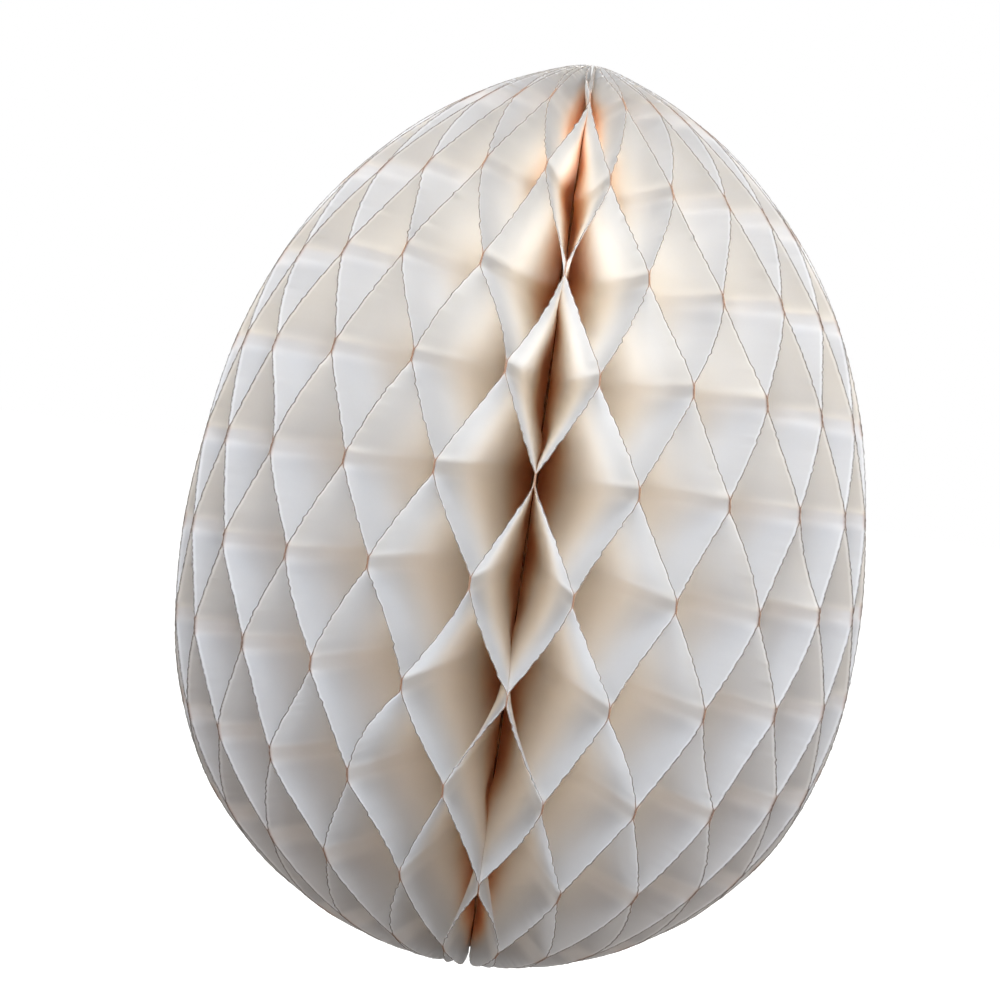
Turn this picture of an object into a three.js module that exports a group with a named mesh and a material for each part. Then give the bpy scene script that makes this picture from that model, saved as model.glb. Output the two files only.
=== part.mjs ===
// An egg-shaped honeycomb decoration of paper leaves, open, hanging from its spine.
// Millimetres, +Z up. The origin is the top pole, where the spine thread ends.
// Every leaf is half an egg in outline. Its straight edge is bound into the spine,
// and it is glued to its two neighbours along short strips at staggered heights,
// so that the open ball shows columns of diamond-shaped cells.
// The seam, where the two cover boards meet back to back, faces +Y.

import * as THREE from 'three';

// Driving dimensions
const HEIGHT = 250;
const LEAF_COUNT = 50;
const LEAF_THICKNESS = 0.2;
const GAP = 0.3;
const GLUE_LEVELS = 10;
const GLUE_PITCH = 24.35;
const FIRST_GLUE_DEPTH = 14.4;
const GLUE_STRIP_HEIGHT = 3;
const SPINE_RADIUS = 3.9;
const THREAD_RADIUS = 0.45;
const BOARD_THICKNESS = 0.3;
const BOARD_INSET = 0.5;
const BOARD_INNER_RADIUS = 11.5;
const PAD_THICKNESS = 0.3;
const PAD_RADIUS = 5;
const PAD_DEPTHS = [55, 125, 195];
const PAD_EDGE_DISTANCE = 14;
const TIP_WIDTH = 1.2;
const TIP_STEPS = 3;
const SPINE_END = 1.2;

// The egg's outline: an ellipse whose width is swelled by a short series in height.
const HALF_HEIGHT = HEIGHT / 2;
const ELLIPSE_RADIUS = 0.7525 * HALF_HEIGHT;
const SWELL = [1, -0.12, 0.165, -0.04, -0.234];

// Worked out from the dimensions above
const LEAF_ANGLE = (2 * Math.PI) / LEAF_COUNT;
const HALF_WEDGE_SLOPE = Math.tan(LEAF_ANGLE / 2);
const LEAF_CLEARANCE = GAP / 2 + LEAF_THICKNESS / 2;
const BOARD_NEAR_FACE = PAD_THICKNESS / 2 + GAP;
const BOARD_FAR_FACE = BOARD_NEAR_FACE + BOARD_THICKNESS;
const BOARD_CLEARANCE = BOARD_FAR_FACE + GAP + LEAF_THICKNESS / 2;
const LEAF_INNER_RADIUS = SPINE_RADIUS + GAP;

const paper = new THREE.MeshStandardMaterial({ color: 0xe9e6e2, roughness: 0.9, metalness: 0 });
const card = new THREE.MeshStandardMaterial({ color: 0xe4dfd6, roughness: 0.8, metalness: 0 });
const adhesive = new THREE.MeshStandardMaterial({ color: 0xd9d2b8, roughness: 0.5, metalness: 0 });
const boundPaper = new THREE.MeshStandardMaterial({ color: 0xb98f63, roughness: 0.9, metalness: 0 });
const cotton = new THREE.MeshStandardMaterial({ color: 0xdedad0, roughness: 0.95, metalness: 0 });

// Polar angle 0 is the top pole and pi the bottom pole.
function heightAt(polar) {
  return HALF_HEIGHT * (Math.cos(polar) - 1);
}

function radiusAt(polar) {
  const along = Math.cos(polar);
  const swell = SWELL.reduce((sum, factor, power) => sum + factor * along ** power, 0);
  return ELLIPSE_RADIUS * Math.sin(polar) * swell;
}

function polarAtHeight(height) {
  return Math.acos(1 + height / HALF_HEIGHT);
}

// The polar angle near a pole at which the outline has this radius.
function polarAtRadius(radius, pole) {
  let near = pole;
  let far = Math.PI / 2;
  for (let i = 0; i < 50; i += 1) {
    const middle = (near + far) / 2;
    if (radiusAt(middle) < radius) {
      near = middle;
    } else {
      far = middle;
    }
  }
  return far;
}

// Evenly spaced polar angles from one to another, without the last.
function steps(from, to, count) {
  return Array.from({ length: count }, (_, i) => from + ((to - from) * i) / count);
}

// Polar angles of a leaf's rows of corners: both edges of every glue strip, and both tips.
function leafRows(innerRadius) {
  const edges = [];
  for (let level = 0; level < GLUE_LEVELS; level += 1) {
    const middle = -(FIRST_GLUE_DEPTH + GLUE_PITCH * level);
    edges.push(polarAtHeight(middle + GLUE_STRIP_HEIGHT / 2));
    edges.push(polarAtHeight(middle - GLUE_STRIP_HEIGHT / 2));
  }
  const top = polarAtRadius(innerRadius + TIP_WIDTH, 0);
  const bottom = polarAtRadius(innerRadius + TIP_WIDTH, Math.PI);
  const last = edges[edges.length - 1];
  return [...steps(top, edges[0], TIP_STEPS), ...edges.slice(0, -1), ...steps(last, bottom, TIP_STEPS), bottom];
}

// +1 or -1 on a glue strip, and a straight run from one to the other between two strips.
function wave(height) {
  const level = (-height - FIRST_GLUE_DEPTH) / GLUE_PITCH;
  const above = Math.floor(level);
  const strip = GLUE_STRIP_HEIGHT / 2 / GLUE_PITCH;
  const run = THREE.MathUtils.clamp((level - above - strip) / (1 - 2 * strip), 0, 1);
  return (above % 2 === 0 ? 1 : -1) * (1 - 2 * run);
}

// A closed thin sheet from an inner radius to the egg's outline. sideways(radius, height)
// is how far its middle lies from the radial plane that its group turns to. Both faces of a
// row are split along the same diagonal, which keeps the sheet equally thick.
function sheetGeometry(rows, innerRadius, inset, sideways, thickness) {
  const corners = [];
  for (const polar of rows) {
    const height = heightAt(polar);
    for (const radius of [innerRadius, radiusAt(polar) - inset]) {
      const middle = sideways(radius, height);
      corners.push(radius, middle - thickness / 2, height);
      corners.push(radius, middle + thickness / 2, height);
    }
  }
  const faces = [];
  const addQuad = (a, b, c, d) => faces.push(a, b, c, a, c, d);
  for (let row = 0; row < rows.length - 1; row += 1) {
    const [innerLow, innerHigh, outerLow, outerHigh] = [0, 1, 2, 3].map((corner) => 4 * row + corner);
    addQuad(innerLow, innerLow + 4, outerLow + 4, outerLow);
    addQuad(outerHigh + 4, innerHigh + 4, innerHigh, outerHigh);
    addQuad(outerLow, outerLow + 4, outerHigh + 4, outerHigh);
    addQuad(innerHigh, innerHigh + 4, innerLow + 4, innerLow);
  }
  const end = 4 * (rows.length - 1);
  addQuad(0, 2, 3, 1);
  addQuad(end, end + 1, end + 3, end + 2);
  const geometry = new THREE.BufferGeometry();
  geometry.setAttribute('position', new THREE.Float32BufferAttribute(corners, 3));
  geometry.setIndex(faces);
  geometry.computeVertexNormals();
  return geometry;
}

// Turned so that its own x axis points away from the spine, at an angle counted from the seam.
function atAngle(mesh, angle) {
  const turned = new THREE.Group();
  turned.rotation.z = Math.PI / 2 + angle;
  turned.add(mesh);
  return turned;
}

// A leaf stays in its own wedge: from one glued boundary to the other and back.
function makeLeaf(number) {
  const first = number === 1;
  const last = number === LEAF_COUNT;
  const innerRadius = first || last ? BOARD_INNER_RADIUS : LEAF_INNER_RADIUS;
  const before = first ? BOARD_CLEARANCE : LEAF_CLEARANCE;
  const after = last ? BOARD_CLEARANCE : LEAF_CLEARANCE;
  const side = (number - LEAF_COUNT / 2) % 2 === 0 ? 1 : -1;
  const sideways = (radius, height) => {
    const low = before - radius * HALF_WEDGE_SLOPE;
    const high = radius * HALF_WEDGE_SLOPE - after;
    return low + ((high - low) * (1 + side * wave(height))) / 2;
  };
  const geometry = sheetGeometry(leafRows(innerRadius), innerRadius, 0, sideways, LEAF_THICKNESS);
  const mesh = new THREE.Mesh(geometry, paper);
  mesh.name = `leaf_${String(number).padStart(2, '0')}`;
  return atAngle(mesh, (number - 0.5) * LEAF_ANGLE);
}

// A flat half-egg of card, on one side of the seam.
function makeBoard(name, side) {
  const middle = (side * (BOARD_NEAR_FACE + BOARD_FAR_FACE)) / 2;
  const rows = leafRows(BOARD_INNER_RADIUS);
  const geometry = sheetGeometry(rows, BOARD_INNER_RADIUS, BOARD_INSET, () => middle, BOARD_THICKNESS);
  const mesh = new THREE.Mesh(geometry, card);
  mesh.name = name;
  return atAngle(mesh, 0);
}

// A round adhesive pad between the boards, whose axis crosses the seam.
function makePad(depth, index) {
  const mesh = new THREE.Mesh(new THREE.CylinderGeometry(PAD_RADIUS, PAD_RADIUS, PAD_THICKNESS, 24), adhesive);
  mesh.name = `seam_pad_${index + 1}`;
  mesh.position.set(radiusAt(polarAtHeight(-depth)) - PAD_EDGE_DISTANCE, 0, -depth);
  return atAngle(mesh, 0);
}

// The leaves' bound and glued inner edges, with a bore for the thread.
function makeBinding() {
  const bore = THREAD_RADIUS + GAP;
  const [top, bottom] = [-SPINE_END, SPINE_END - HEIGHT];
  const section = [
    new THREE.Vector2(bore, bottom),
    new THREE.Vector2(SPINE_RADIUS, bottom),
    new THREE.Vector2(SPINE_RADIUS, top),
    new THREE.Vector2(bore, top),
    new THREE.Vector2(bore, bottom),
  ];
  const mesh = new THREE.Mesh(new THREE.LatheGeometry(section, 24), boundPaper);
  mesh.name = 'spine_binding';
  mesh.rotation.x = Math.PI / 2;
  return mesh;
}

// The thread that the leaves are bound with, from pole to pole.
function makeThread() {
  const length = HEIGHT - SPINE_END / 2;
  const mesh = new THREE.Mesh(new THREE.CylinderGeometry(THREAD_RADIUS, THREAD_RADIUS, length, 8), cotton);
  mesh.name = 'spine_thread';
  mesh.rotation.x = Math.PI / 2;
  mesh.position.z = -length / 2;
  return mesh;
}

const ball = new THREE.Group();
for (let number = 1; number <= LEAF_COUNT; number += 1) {
  ball.add(makeLeaf(number));
}
ball.add(makeBoard('cover_board_a', 1));
ball.add(makeBoard('cover_board_b', -1));
PAD_DEPTHS.forEach((depth, index) => ball.add(makePad(depth, index)));
ball.add(makeBinding());
ball.add(makeThread());

export default ball;
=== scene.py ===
"""An egg-shaped honeycomb decoration of thin paper leaves, hanging open over a pale floor.

Fifty paper leaves stand edge-out around a bound spine. Each is glued to its two neighbours
along short strips at staggered heights, so the leaves zigzag and leave diamond-shaped cells.
"""
import math

import bmesh
import bpy
import numpy as np
from mathutils import Matrix, Vector


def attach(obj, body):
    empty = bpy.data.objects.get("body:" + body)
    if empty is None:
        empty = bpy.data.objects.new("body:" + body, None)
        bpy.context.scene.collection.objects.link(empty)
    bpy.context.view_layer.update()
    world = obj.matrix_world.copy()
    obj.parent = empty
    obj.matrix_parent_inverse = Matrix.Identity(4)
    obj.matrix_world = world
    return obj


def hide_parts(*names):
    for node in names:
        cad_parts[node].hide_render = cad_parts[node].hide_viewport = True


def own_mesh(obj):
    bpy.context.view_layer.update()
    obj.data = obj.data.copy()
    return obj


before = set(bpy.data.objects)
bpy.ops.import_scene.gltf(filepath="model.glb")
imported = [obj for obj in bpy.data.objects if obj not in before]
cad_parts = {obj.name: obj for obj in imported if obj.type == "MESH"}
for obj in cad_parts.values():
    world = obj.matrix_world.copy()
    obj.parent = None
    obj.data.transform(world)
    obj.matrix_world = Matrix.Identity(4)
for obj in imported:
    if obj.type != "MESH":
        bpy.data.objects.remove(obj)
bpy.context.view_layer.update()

MM = 0.001
SEED = 7

# The egg and its leaves, in millimetres, as the CAD has them
HEIGHT = 250.0
HALF_HEIGHT = HEIGHT / 2
ELLIPSE_RADIUS = 0.7525 * HALF_HEIGHT
SWELL = (1, -0.12, 0.165, -0.04, -0.234)
LEAF_COUNT = 50
LEAF_ANGLE = 2 * math.pi / LEAF_COUNT
HALF_WEDGE_SLOPE = math.tan(LEAF_ANGLE / 2)
GLUE_LEVELS = 10
GLUE_PITCH = 24.35
FIRST_GLUE_DEPTH = 14.4
GLUE_STRIP_HEIGHT = 3.0
SPINE_RADIUS = 3.9
LEAF_INNER_RADIUS = 4.2
BOARD_INNER_RADIUS = 11.5
BOARD_NEAR_FACE = 0.45
BOARD_FAR_FACE = 0.75
BOARD_INSET = 0.5
PAD_RADIUS = 5.0
PAD_DEPTHS = (55, 125, 195)
PAD_EDGE_DISTANCE = 14.0
TIP_WIDTH = 1.2
SPINE_END = 1.2

# How the real paper differs from the CAD's flat facets, in millimetres unless another unit is named
PAPER_THICKNESS = 0.16
GLUE_GAP = 0.04

# The grid of points over a leaf
ROW_STEP = 0.85
TIP_ROWS = 45
RIM_DISTANCES = (0.0, 0.3, 1.0, 2.4, 4.5, 7.5, 11.0, 15.0, 20.0, 26.0, 33.0)
INNER_COLUMNS = 5
BOARD_ROW_SKIP = 3

# Glue strips that are a little out of place
STRIP_SWING = 0.3           # degrees
STRIP_SHIFT = 0.55
STRIP_TILT = 0.9

# Bends between strips: sharp at the rim, softer in the depth of a cell
RIM_BEND = 0.05
DEPTH_BEND = 0.4
DEEP = 45.0
GLUE_REACH = 3.0
LARGEST_RADIUS = 95.0

# Ripples along the cut edge
FLUTTER = 0.17
FLUTTER_LENGTH = 2.6
FLUTTER_REACH = 3.0
RAGGED = 0.07
RAGGED_REACH = 0.6

# Slack, dents, puckers beside the glue, and cloudy paper
SLACK = 0.55
CRUMPLE = 0.10
PUCKER = 0.07
PUCKER_LENGTH = 8.0
PUCKER_REACH = 4.0
MOTTLE = 0.015
SHEET_SPACING = 37.0        # between one leaf's place in the fibre pattern and the next leaf's

# The sway of the leaves' inner parts
WOBBLE = 0.9
WOBBLE_LENGTHS = (66.0, 41.0, 27.0, 15.0)
WOBBLE_START = 6.0
WOBBLE_REACH = 32.0

# The slightly pointed top
PEAK = 2.6
PEAK_WIDTH = 13.5
PEAK_DEPTH = 16.0

# Light
LIGHT_SIZE = 0.8            # metres
BOUNCES = 18
MIDTONE_LIFT = 1.15


# Camera

def make_camera():
    """At the photograph's viewing angle: a little above the egg's middle, and rolled."""
    distance = 3.3285 * HALF_HEIGHT * MM
    azimuth = math.radians(-0.21)
    pitch = math.radians(2.97)
    roll = math.radians(7.94)
    back = Vector((
        math.sin(azimuth) * math.cos(pitch),
        -math.cos(azimuth) * math.cos(pitch),
        math.sin(pitch),
    ))
    level = Vector((math.cos(azimuth), math.sin(azimuth), 0))
    upright = back.cross(level)
    right = math.cos(roll) * level + math.sin(roll) * upright
    up = math.cos(roll) * upright - math.sin(roll) * level
    data = bpy.data.cameras.new("camera")
    data.sensor_width = 36
    data.lens = 52.65
    data.shift_x = -0.0295
    data.shift_y = 0.0184
    data.clip_start = 0.01
    data.clip_end = 50
    camera = bpy.data.objects.new("camera", data)
    place = Vector((0, 0, -HALF_HEIGHT * MM)) + distance * back
    camera.matrix_world = Matrix.Translation(place) @ Matrix((right, up, back)).transposed().to_4x4()
    bpy.context.scene.collection.objects.link(camera)
    bpy.context.scene.camera = camera


make_camera()


# Node helpers

def linear(red, green, blue):
    """A display colour, 0 to 255, as the linear colour that a shader takes."""
    channels = [value / 255 for value in (red, green, blue)]
    return tuple(c / 12.92 if c <= 0.04045 else ((c + 0.055) / 1.055) ** 2.4 for c in channels) + (1,)


class Graph:
    """A material's nodes, added and joined one by one."""

    def __init__(self, name):
        self.material = bpy.data.materials.new(name)
        self.material.use_nodes = True
        self.tree = self.material.node_tree
        self.shader = self.tree.nodes["Principled BSDF"]

    def node(self, kind, **settings):
        made = self.tree.nodes.new("ShaderNode" + kind)
        for key, value in settings.items():
            setattr(made, key, value)
        return made

    def join(self, source, target):
        self.tree.links.new(source, target)

    def put(self, socket, value):
        if isinstance(value, bpy.types.NodeSocket):
            self.join(value, socket)
        else:
            socket.default_value = value

    def attribute(self, name, output="Fac"):
        return self.node("Attribute", attribute_name=name).outputs[output]

    def maths(self, operation, first, second=0.0):
        made = self.node("Math", operation=operation)
        self.put(made.inputs[0], first)
        self.put(made.inputs[1], second)
        return made.outputs[0]

    def ramp(self, value, low, high, start=0.0, end=1.0):
        """Turns value smoothly from start to end as it goes from low to high."""
        made = self.node("MapRange", interpolation_type="SMOOTHSTEP")
        for socket, number in zip(made.inputs, (value, low, high, start, end)):
            self.put(socket, number)
        return made.outputs[0]

    def stretch(self, vector, scale):
        made = self.node("VectorMath", operation="MULTIPLY")
        self.put(made.inputs[0], vector)
        made.inputs[1].default_value = scale
        return made.outputs[0]

    def noise(self, vector, scale, detail=3.0, roughness=0.55):
        made = self.node("TexNoise")
        self.put(made.inputs["Vector"], vector)
        made.inputs["Scale"].default_value = scale
        made.inputs["Detail"].default_value = detail
        made.inputs["Roughness"].default_value = roughness
        return made.outputs["Fac"]

    def mix(self, share, first, second, blend="MIX"):
        made = self.node("Mix", data_type="RGBA", blend_type=blend)
        self.put(made.inputs["Factor"], share)
        self.put(made.inputs[6], first)
        self.put(made.inputs[7], second)
        return made.outputs[2]

    def bump(self, height, distance, strength):
        made = self.node("Bump")
        made.inputs["Strength"].default_value = strength
        made.inputs["Distance"].default_value = distance
        self.put(made.inputs["Height"], height)
        return made.outputs["Normal"]

    def finish(self, colour, roughness, normal=None):
        self.put(self.shader.inputs["Base Color"], colour)
        self.put(self.shader.inputs["Roughness"], roughness)
        if normal is not None:
            self.join(normal, self.shader.inputs["Normal"])
        return self.material

    def let_light_through(self, share, colour):
        """Mixes in a shader that passes this share of the light on, scattered and tinted."""
        through = self.node("BsdfTranslucent")
        self.put(through.inputs["Color"], colour)
        both = self.node("MixShader")
        both.inputs[0].default_value = share
        self.join(self.shader.outputs[0], both.inputs[1])
        self.join(through.outputs[0], both.inputs[2])
        self.join(both.outputs[0], self.tree.nodes["Material Output"].inputs["Surface"])


# Materials

def leaf_paper():
    """Thin off-white paper that lets light through, with painted light: greyer at the rim, whiter deep
    in the cells and along the glue strips, warm tan towards the spine, a painted highlight and a
    painted shadow line at the cut edge.
    """
    g = Graph("leaf_paper")
    rim = g.attribute("rim_mm")
    glue = g.attribute("glue")
    fibre = g.noise(g.attribute("sheet", "Vector"), 1300, detail=3, roughness=0.7)
    # Painted light: the paper is greyer near the rim and whiter deep in the cells, which lifts the
    # shaded depths and dims the lit mouths.
    colour = g.mix(g.ramp(rim, 2, 33), linear(220, 219, 218), linear(255, 252, 247))
    # Painted light: the paper is lighter along the glue strips, which lifts the shade in the folds
    # beside them.
    colour = g.mix(g.ramp(glue, 0.0, 1.0, 0.0, 0.44), colour, linear(252, 250, 247))
    # Painted light: a warm tan towards the spine and deep in the cells stands in for the warm light
    # bounced between the leaves there.
    depth = g.maths("MULTIPLY", g.ramp(g.attribute("axis_mm"), 40, 5), g.ramp(rim, 10, 30))
    colour = g.mix(depth, colour, linear(255, 234, 210))
    # Painted highlight: a near-white band within about a millimetre of the rim.
    colour = g.mix(g.ramp(rim, 1.2, 0.5, 0.0, 0.55), colour, linear(248, 248, 248))
    grain = g.maths("MULTIPLY", g.attribute("tone"), g.ramp(fibre, 0.25, 0.75, 0.985, 1.0))
    colour = g.mix(1.0, colour, grain, blend="MULTIPLY")
    stain = g.maths("MULTIPLY", g.ramp(glue, 0.3, 1.0, 0.0, 0.42), g.ramp(rim, 1.1, 0.0))
    colour = g.mix(stain, colour, linear(190, 150, 116))
    # Painted shadow: a dark grey-brown line along the cut edge, broken up by the fibre noise.
    painted_edge_shade = g.maths("MULTIPLY", g.ramp(rim, 0.45, 0.05), g.ramp(fibre, 0.35, 0.65, 0.4, 0.9))
    colour = g.mix(painted_edge_shade, colour, linear(106, 92, 80))
    g.let_light_through(0.85, colour)
    return g.finish(colour, g.ramp(fibre, 0.2, 0.8, 0.82, 0.96), g.bump(fibre, 0.00006, 0.5))


def cut_edge():
    """The cut edge of a leaf: its grey-brown fibres are darkened far below the paper's own colour into
    a painted shadow line, and it is orange where glue has soaked in.
    """
    g = Graph("leaf_edge")
    fibre = g.noise(g.attribute("sheet", "Vector"), 900, detail=3, roughness=0.7)
    # Painted shadow: the edge's fibre colour runs from near-black to dark grey-brown, so the edge draws
    # a shade line.
    colour = g.mix(g.ramp(fibre, 0.35, 0.65), linear(44, 36, 30), linear(100, 84, 70))
    colour = g.mix(g.ramp(g.attribute("glue"), 0.2, 1.0, 0.0, 0.6), colour, linear(120, 76, 46))
    return g.finish(colour, 0.95, g.bump(fibre, 0.0001, 0.8))


def cover_card():
    """Thin pressed card: long fibres, specks, and darker cut edges."""
    g = Graph("cover_card")
    place = g.node("TexCoord").outputs["Object"]
    fibre = g.noise(g.stretch(place, (1, 1, 0.25)), 1500, detail=4, roughness=0.7)
    cloud = g.noise(place, 45, detail=2)
    speck = g.noise(place, 900, detail=1)
    colour = g.mix(g.ramp(cloud, 0.3, 0.7), linear(226, 219, 207), linear(236, 231, 222))
    colour = g.mix(g.ramp(speck, 0.68, 0.75, 0.0, 0.5), colour, linear(168, 142, 112))
    colour = g.mix(g.ramp(fibre, 0.35, 0.75, 0.0, 0.25), colour, linear(204, 192, 172))
    return g.finish(colour, g.ramp(fibre, 0.2, 0.8, 0.7, 0.85), g.bump(fibre, 0.0001, 0.5))


def adhesive():
    """Soft clear adhesive with small trapped bubbles."""
    g = Graph("adhesive")
    place = g.node("TexCoord").outputs["Object"]
    cloud = g.noise(place, 400, detail=2)
    bubble = g.node("TexVoronoi")
    g.put(bubble.inputs["Vector"], place)
    bubble.inputs["Scale"].default_value = 900
    colour = g.mix(g.ramp(cloud, 0.3, 0.7), linear(222, 210, 176), linear(206, 190, 150))
    colour = g.mix(g.ramp(bubble.outputs["Distance"], 0.25, 0.1), colour, linear(240, 234, 214))
    return g.finish(colour, g.ramp(cloud, 0.3, 0.7, 0.3, 0.5), g.bump(cloud, 0.0002, 0.6))


def bound_paper():
    """Bunched paper edges soaked with dried brown glue."""
    g = Graph("bound_paper")
    place = g.node("TexCoord").outputs["Object"]
    layers = g.noise(g.stretch(place, (1, 1, 0.08)), 1600, detail=3, roughness=0.65)
    blot = g.noise(place, 160, detail=2)
    colour = g.mix(g.ramp(layers, 0.35, 0.65), linear(128, 84, 50), linear(184, 136, 94))
    colour = g.mix(g.ramp(blot, 0.5, 0.65), colour, linear(104, 62, 34))
    return g.finish(colour, g.ramp(blot, 0.4, 0.6, 0.9, 0.55), g.bump(layers, 0.0003, 0.8))


def cotton():
    """Twisted cotton thread, with loose fibres along the plies."""
    g = Graph("thread")
    place = g.node("TexCoord").outputs["Object"]
    fibre = g.noise(g.stretch(place, (1, 1, 0.3)), 5000, detail=3, roughness=0.7)
    colour = g.mix(g.ramp(fibre, 0.3, 0.7), linear(196, 184, 164), linear(232, 226, 214))
    return g.finish(colour, 0.95, g.bump(fibre, 0.0001, 0.7))


# Shape of a leaf

def height_at(polar):
    return HALF_HEIGHT * (np.cos(polar) - 1)


def radius_at(polar):
    along = np.cos(polar)
    return ELLIPSE_RADIUS * np.sin(polar) * sum(f * along ** i for i, f in enumerate(SWELL))


def polar_at_height(height):
    return np.arccos(1 + height / HALF_HEIGHT)


def polar_at_radius(radius, pole):
    """The polar angle near a pole at which the outline has this radius."""
    near, far = pole, math.pi / 2
    for _ in range(50):
        middle = (near + far) / 2
        if radius_at(middle) < radius:
            near = middle
        else:
            far = middle
    return far


def leaf_rows(inner_radius):
    """Polar angles of a leaf's rows: even steps between glue strips, and round both tips."""
    edges = []
    for level in range(GLUE_LEVELS):
        middle = -(FIRST_GLUE_DEPTH + GLUE_PITCH * level)
        edges += [middle + GLUE_STRIP_HEIGHT / 2, middle - GLUE_STRIP_HEIGHT / 2]
    runs = []
    for upper, lower in zip(edges[:-1], edges[1:]):
        count = round((upper - lower) / ROW_STEP)
        runs.append(polar_at_height(np.linspace(upper, lower, count, endpoint=False)))
    top = polar_at_radius(inner_radius + TIP_WIDTH, 0)
    bottom = polar_at_radius(inner_radius + TIP_WIDTH, math.pi)
    first, last = polar_at_height(edges[0]), polar_at_height(edges[-1])
    runs.insert(0, np.linspace(top, first, TIP_ROWS, endpoint=False))
    runs.append(np.linspace(last, bottom, TIP_ROWS))
    return np.concatenate(runs)


def leaf_columns(outer_radius, inner_radius):
    """Radii of a row's points, from the rim inwards, closest together at the rim."""
    outer = np.asarray(outer_radius)[:, None]
    span = outer - inner_radius
    shrink = np.minimum(1, span / (2 * RIM_DISTANCES[-1]))
    near_rim = outer - np.array(RIM_DISTANCES) * shrink
    inmost = near_rim[:, -1:]
    steps = np.arange(1, INNER_COLUMNS + 1) / INNER_COLUMNS
    return np.hstack([near_rim, inmost + (inner_radius - inmost) * steps])


class Irregularity:
    """Where each glue strip really is, beside where an exact pad would have it."""

    def __init__(self, generator):
        size = (LEAF_COUNT + 1, GLUE_LEVELS + 2)
        self.swing = generator.normal(0, math.radians(STRIP_SWING), size)
        self.swing[0] = 0
        self.swing[-1] = 0
        self.shift = generator.normal(0, STRIP_SHIFT, size)
        self.tilt = generator.normal(0, STRIP_TILT, size)


def waves(generator, count, shortest, longest):
    """Random plane waves over a sheet: how fast each runs along x and z, and its phase."""
    lengths = generator.uniform(shortest, longest, count)
    headings = generator.uniform(0, math.pi, count)
    phases = generator.uniform(0, 2 * math.pi, count)
    return 2 * math.pi / lengths * np.cos(headings), 2 * math.pi / lengths * np.sin(headings), phases


def crumpled(generator, x, z, count=7, shortest=14, longest=45):
    """Soft dents over a sheet, between about -1 and 1."""
    total = np.zeros_like(x)
    for along, down, phase in zip(*waves(generator, count, shortest, longest)):
        total += np.sin(along * x + down * z + phase)
    return total / math.sqrt(count)


def fluttered(generator, z, length):
    """An uneven ripple along an edge, between about -1 and 1."""
    total = np.zeros_like(z)
    for factor in (0.62, 0.85, 1.0, 1.45, 2.3):
        phase = generator.uniform(0, 2 * math.pi)
        total += np.sin(2 * math.pi * z / (length * factor) + phase) * generator.uniform(0.4, 1)
    return total / 1.6


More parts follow.
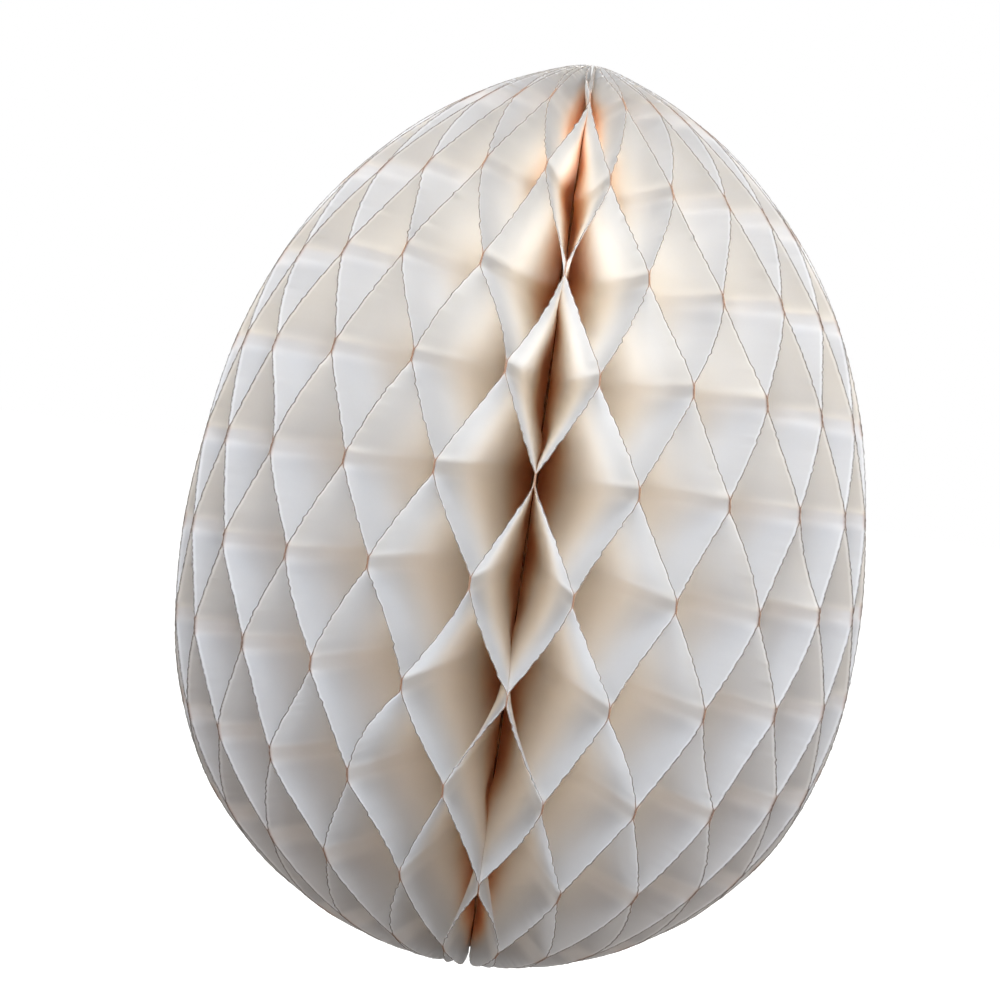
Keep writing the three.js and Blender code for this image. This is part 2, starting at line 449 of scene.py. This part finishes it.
class LeafShape:
    """The middle surface of one leaf, over a grid of rows and columns, in millimetres.

    x points from the spine to the rim, y to the next leaf, and z up.
    """

    def __init__(self, number, irregularity, generator):
        first, last = number == 1, number == LEAF_COUNT
        self.inner_radius = BOARD_INNER_RADIUS if first or last else LEAF_INNER_RADIUS
        self.rows = leaf_rows(self.inner_radius)
        outer = radius_at(self.rows)
        self.x = leaf_columns(outer, self.inner_radius)
        self.rim = outer[:, None] - self.x
        self.z = np.repeat(height_at(self.rows)[:, None], self.x.shape[1], axis=1)
        self.number = number
        self.side = 1 if (number - LEAF_COUNT // 2) % 2 == 0 else -1

        paper = PAPER_THICKNESS / 2 + GLUE_GAP / 2
        board = BOARD_FAR_FACE + GLUE_GAP + PAPER_THICKNESS / 2
        swung, share, away, slack = self.follow(irregularity, generator)
        low = (board if first else paper) - self.x * HALF_WEDGE_SLOPE
        high = self.x * HALF_WEDGE_SLOPE - (board if last else paper)
        self.y = (low + high) / 2 + (high - low) / 2 * share + self.x * swung
        self.glue = np.clip(1 - away / GLUE_REACH, 0, 1) ** 1.5
        self.tone = 1 - MOTTLE * (1 + crumpled(generator, self.x, self.z, shortest=5, longest=22)) / 2
        self.slacken(generator, away, slack)
        self.ripple_edge(generator, outer)
        self.y += self.wobble(share)
        self.z = self.z + PEAK * np.exp(-((self.x / PEAK_WIDTH) ** 2) + self.z / PEAK_DEPTH)
        self.x = self.x + self.ragged

    def slacken(self, generator, away, slack):
        """Bulges, dents and puckers, where the paper isn't held by glue."""
        reach = np.clip(self.x / LARGEST_RADIUS, 0, 1)
        free = 1 - self.glue
        self.y += slack * SLACK * reach * free
        self.y += CRUMPLE * reach * free * crumpled(generator, self.x, self.z)
        beside_glue = away / PUCKER_REACH * np.exp(1 - away / PUCKER_REACH)
        self.y += PUCKER * fluttered(generator, self.x, PUCKER_LENGTH) * reach * beside_glue

    def ripple_edge(self, generator, outer):
        """A ripple along the cut edge, and how far the edge itself is ragged."""
        steps = np.hypot(np.diff(outer), np.diff(self.z[:, 0]))
        arc = np.concatenate([[0], np.cumsum(steps)])
        ripple = fluttered(generator, arc, FLUTTER_LENGTH)[:, None]
        self.y += FLUTTER * ripple * np.exp(-self.rim / FLUTTER_REACH) * (1 - self.glue)
        ragged = fluttered(generator, arc, FLUTTER_LENGTH * 0.8)[:, None]
        self.ragged = RAGGED * ragged * np.exp(-self.rim / RAGGED_REACH)

    def wobble(self, share):
        """A slow sway of the inner parts, the same for all leaves but those beside the seam."""
        generator = np.random.default_rng((SEED, 300))
        sway = np.zeros_like(self.z)
        for length in WOBBLE_LENGTHS:
            sway += np.sin(2 * math.pi * self.z / length + generator.uniform(0, 2 * math.pi))
        rise = np.clip((self.x - LEAF_INNER_RADIUS) / WOBBLE_START, 0, 1)
        reach = rise * rise * (3 - 2 * rise) * np.exp(-((self.x / WOBBLE_REACH) ** 2))
        away_from_seam = np.sin(math.pi * (self.number - 0.5 + share / 2) / LEAF_COUNT) ** 2
        return WOBBLE * sway / 2 * reach * away_from_seam

    def boundary(self, level):
        """+1 or -1, as the strip is on the next leaf's side or the last one's, and its boundary."""
        sign = self.side if level % 2 == 0 else -self.side
        return sign, self.number if sign > 0 else self.number - 1

    def follow(self, irregularity, generator):
        """From strip to strip: the boundary's swing, the place across the wedge, the distance
        above or below the nearest strip, and how far the paper hangs slack."""
        swung = np.zeros_like(self.x)
        share = np.zeros_like(self.x)
        away = np.zeros_like(self.x)
        slack = np.zeros_like(self.x)
        span = self.x[:, :1] - self.inner_radius
        inward = np.clip(self.rim / np.maximum(span, 1), 0, 1)
        strip = GLUE_STRIP_HEIGHT / 2
        bend = RIM_BEND + DEPTH_BEND * np.clip(self.rim / DEEP, 0, 1)
        for level in range(-1, GLUE_LEVELS):
            upper_sign, upper_boundary = self.boundary(level)
            lower_sign, lower_boundary = self.boundary(level + 1)
            upper, lower = [
                -(FIRST_GLUE_DEPTH + GLUE_PITCH * n)
                + irregularity.shift[b, n]
                + irregularity.tilt[b, n] * inward
                for n, b in ((level, upper_boundary), (level + 1, lower_boundary))
            ]
            run = (upper - strip - self.z) / np.maximum(upper - lower - 2 * strip, 1)
            inside = (self.z <= upper) & (self.z > lower)
            if level == -1:
                inside = self.z > lower
            if level == GLUE_LEVELS - 1:
                inside = self.z <= upper
            run = np.clip(run, 0, 1)
            smooth = run * run * (3 - 2 * run)
            eased = run * (1 - bend) + smooth * bend
            share = np.where(inside, upper_sign + (lower_sign - upper_sign) * eased, share)
            swing = irregularity.swing[upper_boundary, level] * (1 - smooth)
            swing = swing + irregularity.swing[lower_boundary, level + 1] * smooth
            swung = np.where(inside, swing, swung)
            below_upper = upper - strip - self.z if level >= 0 else np.inf
            above_lower = self.z - lower - strip if level < GLUE_LEVELS - 1 else np.inf
            distance = np.clip(np.minimum(below_upper, above_lower), 0, None)
            away = np.where(inside, distance, away)
            bulge = generator.normal(0, 1) * np.sin(math.pi * run)
            slack = np.where(inside, bulge, slack)
        return swung, share, away, slack


def grid_faces(rows, columns, offset, flip):
    """Quads over a grid of points that are numbered row by row from offset."""
    row, column = np.meshgrid(np.arange(rows - 1), np.arange(columns - 1), indexing="ij")
    corner = offset + row * columns + column
    around = [corner, corner + columns, corner + columns + 1, corner + 1]
    if flip:
        around.reverse()
    return np.stack(around, axis=-1).reshape(-1, 4)


def border_faces(line, other):
    """Quads that join two lines of points."""
    return np.stack([line[:-1], other[:-1], other[1:], line[1:]], axis=-1)


def sheet_mesh(name, x, y, z, thickness, extras):
    """A closed thin sheet around a middle surface, its edges in the second material slot."""
    rows, columns = x.shape
    count = rows * columns
    lower = np.stack([x, y - thickness / 2, z], axis=-1).reshape(-1, 3)
    upper = np.stack([x, y + thickness / 2, z], axis=-1).reshape(-1, 3)
    points = np.concatenate([lower, upper])
    numbers = np.arange(count).reshape(rows, columns)
    quads = [
        grid_faces(rows, columns, 0, True),
        grid_faces(rows, columns, count, False),
        border_faces(numbers[:, 0], numbers[:, 0] + count),
        border_faces(numbers[:, -1] + count, numbers[:, -1]),
        border_faces(numbers[0, :] + count, numbers[0, :]),
        border_faces(numbers[-1, :], numbers[-1, :] + count),
    ]
    edge_start = len(quads[0]) + len(quads[1])
    quads = np.concatenate(quads)
    mesh = bpy.data.meshes.new(name)
    mesh.vertices.add(len(points))
    mesh.loops.add(quads.size)
    mesh.polygons.add(len(quads))
    mesh.loops.foreach_set("vertex_index", quads.ravel().astype(np.int32))
    mesh.polygons.foreach_set("loop_start", np.arange(0, quads.size, 4, dtype=np.int32))
    mesh.vertices.foreach_set("co", (points * MM).astype(np.float32).ravel())
    slots = np.zeros(len(quads), np.int32)
    slots[edge_start:] = 1
    mesh.polygons.foreach_set("material_index", slots)
    mesh.polygons.foreach_set("use_smooth", np.ones(len(quads), bool))
    for key, values in extras.items():
        both = np.concatenate([values.reshape(count, -1)] * 2)
        kind, field = ("FLOAT", "value") if both.shape[1] == 1 else ("FLOAT_VECTOR", "vector")
        mesh.attributes.new(key, kind, "POINT").data.foreach_set(field, both.astype(np.float32).ravel())
    mesh.update(calc_edges=True)
    mesh.validate()
    mesh.set_sharp_from_angle(angle=math.radians(60))
    return mesh


def turned(mesh, angle):
    """Turns a mesh from its own frame, x away from the spine, to an angle counted from the seam."""
    mesh.transform(Matrix.Rotation(math.pi / 2 + angle, 4, "Z"))


def add_piece(name, mesh, body, nodes, slot, *materials):
    """A piece that rides on a body and stands for these CAD nodes."""
    for material in materials:
        mesh.materials.append(material)
    piece = bpy.data.objects.new(name, mesh)
    bpy.context.scene.collection.objects.link(piece)
    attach(piece, body)
    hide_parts(*nodes)
    return piece


def make_leaf(number, irregularity, materials):
    """One paper leaf."""
    generator = np.random.default_rng((SEED, number))
    node = f"leaf_{number:02d}"
    shape = LeafShape(number, irregularity, generator)
    sheet = np.stack([shape.x, shape.z, np.full_like(shape.x, SHEET_SPACING * number)], axis=-1) * MM
    extras = {
        "rim_mm": shape.rim,
        "axis_mm": shape.x,
        "glue": shape.glue,
        "tone": shape.tone,
        "sheet": sheet,
    }
    mesh = sheet_mesh(f"paper_{node}", shape.x, shape.y, shape.z, PAPER_THICKNESS, extras)
    angle = (number - 0.5) * LEAF_ANGLE
    turned(mesh, angle)
    piece = add_piece(f"paper_{node}", mesh, node, [node], "leaf_paper", *materials)
    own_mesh(piece)


def make_board(name, body, side, material):
    """A half egg of card beside the seam."""
    rows = leaf_rows(BOARD_INNER_RADIUS)[::BOARD_ROW_SKIP]
    outer = radius_at(rows) - BOARD_INSET
    x = leaf_columns(outer, BOARD_INNER_RADIUS)
    z = np.repeat(height_at(rows)[:, None], x.shape[1], axis=1)
    middle = side * (BOARD_NEAR_FACE + BOARD_FAR_FACE) / 2
    thickness = BOARD_FAR_FACE - BOARD_NEAR_FACE
    mesh = sheet_mesh(f"card_{name}", x, np.full_like(x, middle), z, thickness, {})
    turned(mesh, 0)
    add_piece(f"card_{name}", mesh, body, [name], "cover_card", material, material)


def make_pad(index, depth, material):
    """A round adhesive pad between the boards: crowned faces and a soft, slightly uneven rim."""
    generator = np.random.default_rng((SEED, 100 + index))
    rings = 10
    spokes = 48
    half_thickness = 0.32
    uneven = 1 + 0.012 * fluttered(generator, np.arange(spokes) / spokes * 2 * math.pi, 2 * math.pi)
    uneven[-1] = uneven[0]
    shape = bmesh.new()
    centre_x = float(radius_at(polar_at_height(-depth))) - PAD_EDGE_DISTANCE
    loops = []
    for ring in range(2 * rings + 1):
        turn = math.pi * ring / (2 * rings)
        reach = PAD_RADIUS * (0.9 + 0.1 * math.sin(turn)) if 0 < ring < 2 * rings else PAD_RADIUS * 0.9
        across = -half_thickness * math.cos(turn)
        points = []
        for spoke in range(spokes):
            around = 2 * math.pi * spoke / spokes
            radius = reach * uneven[spoke]
            place = (centre_x + radius * math.cos(around), across, -depth + radius * math.sin(around))
            points.append(shape.verts.new(Vector(place) * MM))
        loops.append(points)
    for near, far in zip(loops[:-1], loops[1:]):
        for spoke in range(spokes):
            after = (spoke + 1) % spokes
            shape.faces.new((near[spoke], near[after], far[after], far[spoke]))
    for points, across in ((loops[0], -half_thickness), (loops[-1], half_thickness)):
        middle = shape.verts.new(Vector((centre_x, across, -depth)) * MM)
        for spoke in range(spokes):
            shape.faces.new((points[spoke], points[(spoke + 1) % spokes], middle))
    bmesh.ops.recalc_face_normals(shape, faces=shape.faces)
    mesh = bpy.data.meshes.new(f"adhesive_pad_{index + 1}")
    shape.to_mesh(mesh)
    shape.free()
    mesh.polygons.foreach_set("use_smooth", np.ones(len(mesh.polygons), bool))
    turned(mesh, 0)
    add_piece(mesh.name, mesh, "cover_a", [f"seam_pad_{index + 1}"], "adhesive", material)


def ring_mesh(name, profile, spokes):
    """A closed tube round the z axis. profile gives each ring's radii and height; ends are joined."""
    shape = bmesh.new()
    loops = []
    for radii, height in profile:
        points = []
        for spoke in range(spokes):
            around = 2 * math.pi * spoke / spokes
            radius = radii[spoke]
            points.append(shape.verts.new(Vector((
                radius * math.cos(around) * MM,
                radius * math.sin(around) * MM,
                height * MM,
            ))))
        loops.append(points)
    for near, far in zip(loops, loops[1:] + loops[:1]):
        for spoke in range(spokes):
            after = (spoke + 1) % spokes
            shape.faces.new((near[spoke], near[after], far[after], far[spoke]))
    bmesh.ops.recalc_face_normals(shape, faces=shape.faces)
    mesh = bpy.data.meshes.new(name)
    shape.to_mesh(mesh)
    shape.free()
    mesh.polygons.foreach_set("use_smooth", np.ones(len(mesh.polygons), bool))
    mesh.set_sharp_from_angle(angle=math.radians(50))
    return mesh


def make_binding(material):
    """The leaves' bunched inner edges: one rib for each leaf, glued together, and bored."""
    generator = np.random.default_rng((SEED, 200))
    spokes = 4 * LEAF_COUNT
    levels = 120
    rib_depth = 0.28
    bore = 0.7
    around = np.arange(spokes) / spokes * 2 * math.pi
    profile = []
    for height in np.linspace(SPINE_END - HEIGHT, -SPINE_END, levels):
        ribs = (0.5 - 0.5 * np.cos(LEAF_COUNT * around)) ** 0.7
        jitter = generator.uniform(0, 0.08, spokes)
        profile.append((SPINE_RADIUS - rib_depth * ribs - jitter, height))
    for height in (-SPINE_END, SPINE_END - HEIGHT):
        profile.append((np.full(spokes, bore), height))
    mesh = ring_mesh("bound_spine", profile, spokes)
    add_piece("bound_spine", mesh, "spine", ["spine_binding"], "bound_paper", material)


def make_thread(material):
    """Three cotton plies twisted round the spine's axis, from pole to pole."""
    plies = 3
    ply_radius = 0.21
    twist_radius = 0.23
    turn_length = 3.2
    length = HEIGHT - SPINE_END / 2
    steps = 640
    spokes = 8
    shape = bmesh.new()
    for ply in range(plies):
        loops = []
        for step in range(steps + 1):
            depth = length * step / steps
            turn = 2 * math.pi * (depth / turn_length + ply / plies)
            middle = Vector((twist_radius * math.cos(turn), twist_radius * math.sin(turn), -depth))
            loops.append([
                shape.verts.new((middle + ply_radius * Vector((
                    math.cos(2 * math.pi * spoke / spokes),
                    math.sin(2 * math.pi * spoke / spokes),
                    0,
                ))) * MM)
                for spoke in range(spokes)
            ])
        for near, far in zip(loops[:-1], loops[1:]):
            for spoke in range(spokes):
                after = (spoke + 1) % spokes
                shape.faces.new((near[spoke], far[spoke], far[after], near[after]))
        shape.faces.new(loops[0])
        shape.faces.new(loops[-1][::-1])
    mesh = bpy.data.meshes.new("spine_cotton")
    shape.to_mesh(mesh)
    shape.free()
    mesh.polygons.foreach_set("use_smooth", np.ones(len(mesh.polygons), bool))
    mesh.set_sharp_from_angle(angle=math.radians(60))
    add_piece("spine_cotton", mesh, "spine", ["spine_thread"], "thread", material)


# Stage and light

def make_floor():
    """A plain pale floor below the hanging egg, bright enough to meet the backdrop unseen."""
    size = 12.0
    level = -0.46
    mesh = bpy.data.meshes.new("floor")
    corners = [(-size, -size, level), (size, -size, level), (size, size, level), (-size, size, level)]
    mesh.from_pydata(corners, [], [(0, 1, 2, 3)])
    g = Graph("floor")
    g.put(g.shader.inputs["Emission Color"], (1, 1, 1, 1))
    seen = g.node("LightPath").outputs["Is Camera Ray"]
    g.put(g.shader.inputs["Emission Strength"], g.maths("MULTIPLY", seen, 0.97))
    mesh.materials.append(g.finish((0.15, 0.15, 0.15, 1), 0.9))
    floor = bpy.data.objects.new("floor", mesh)
    bpy.context.scene.collection.objects.link(floor)


def make_world():
    """A dim, slightly warm room, lightest above and to the right, behind a white backdrop."""
    world = bpy.data.worlds.new("room")
    bpy.context.scene.world = world
    world.use_nodes = True
    tree = world.node_tree
    room = tree.nodes["Background"]
    room.inputs["Color"].default_value = (1, 0.92, 0.8, 1)
    lightest = (0.6, -0.2, 0.77)
    towards = tree.nodes.new("ShaderNodeVectorMath")
    towards.operation = "DOT_PRODUCT"
    towards.inputs[1].default_value = lightest
    fade = tree.nodes.new("ShaderNodeMapRange")
    for key, value in (("From Min", -1), ("From Max", 1), ("To Min", 0), ("To Max", 0.75)):
        fade.inputs[key].default_value = value
    around = tree.nodes.new("ShaderNodeTexCoord").outputs["Generated"]
    tree.links.new(around, towards.inputs[0])
    tree.links.new(towards.outputs["Value"], fade.inputs["Value"])
    tree.links.new(fade.outputs["Result"], room.inputs["Strength"])
    backdrop = tree.nodes.new("ShaderNodeBackground")
    backdrop.inputs["Color"].default_value = (1, 1, 1, 1)
    backdrop.inputs["Strength"].default_value = 1.0
    seen = tree.nodes.new("ShaderNodeLightPath")
    choice = tree.nodes.new("ShaderNodeMixShader")
    tree.links.new(seen.outputs["Is Camera Ray"], choice.inputs[0])
    tree.links.new(room.outputs[0], choice.inputs[1])
    tree.links.new(backdrop.outputs[0], choice.inputs[2])
    tree.links.new(choice.outputs[0], tree.nodes["World Output"].inputs["Surface"])


def add_light(name, place, power, colour):
    """A soft square light that faces the middle of the egg."""
    data = bpy.data.lights.new(name, "AREA")
    data.shape = "SQUARE"
    data.size = LIGHT_SIZE
    data.energy = power
    data.color = colour
    light = bpy.data.objects.new(name, data)
    light.location = place
    target = Vector((0, 0, -HALF_HEIGHT * MM))
    light.rotation_mode = "QUATERNION"
    light.rotation_quaternion = (light.location - target).to_track_quat("Z", "Y")
    bpy.context.scene.collection.objects.link(light)


def make_lights():
    """Mostly from above the camera, cool; softer light from overhead and all round."""
    add_light("key", (0, -0.75, 0.9), 59, (0.72, 0.84, 1))
    add_light("overhead", (0, 0, 1.1), 20, (1, 0.84, 0.56))
    add_light("front", (0, -1.2, 0.05), 9.5, (1, 0.82, 0.77))
    add_light("right", (0.85, -0.85, 0), 6, (0.86, 0.91, 1))
    add_light("behind", (0, 1.1, 0.3), 17, (1, 0.97, 0.92))


def make_object():
    generator = np.random.default_rng(SEED)
    irregularity = Irregularity(generator)
    paper, edge = leaf_paper(), cut_edge()
    for number in range(1, LEAF_COUNT + 1):
        make_leaf(number, irregularity, (paper, edge))
    card = cover_card()
    make_board("cover_board_a", "cover_a", 1, card)
    make_board("cover_board_b", "cover_b", -1, card)
    glue = adhesive()
    for index, depth in enumerate(PAD_DEPTHS):
        make_pad(index, depth, glue)
    make_binding(bound_paper())
    make_thread(cotton())


def set_up_view():
    """Enough bounces for light to reach the depth of the cells, and a small lift of the midtones."""
    scene = bpy.context.scene
    scene.view_settings.view_transform = "Standard"
    scene.view_settings.gamma = MIDTONE_LIFT
    scene.cycles.max_bounces = BOUNCES + 2
    scene.cycles.diffuse_bounces = BOUNCES
    scene.cycles.transmission_bounces = BOUNCES


make_object()
make_floor()
make_world()
make_lights()
set_up_view()
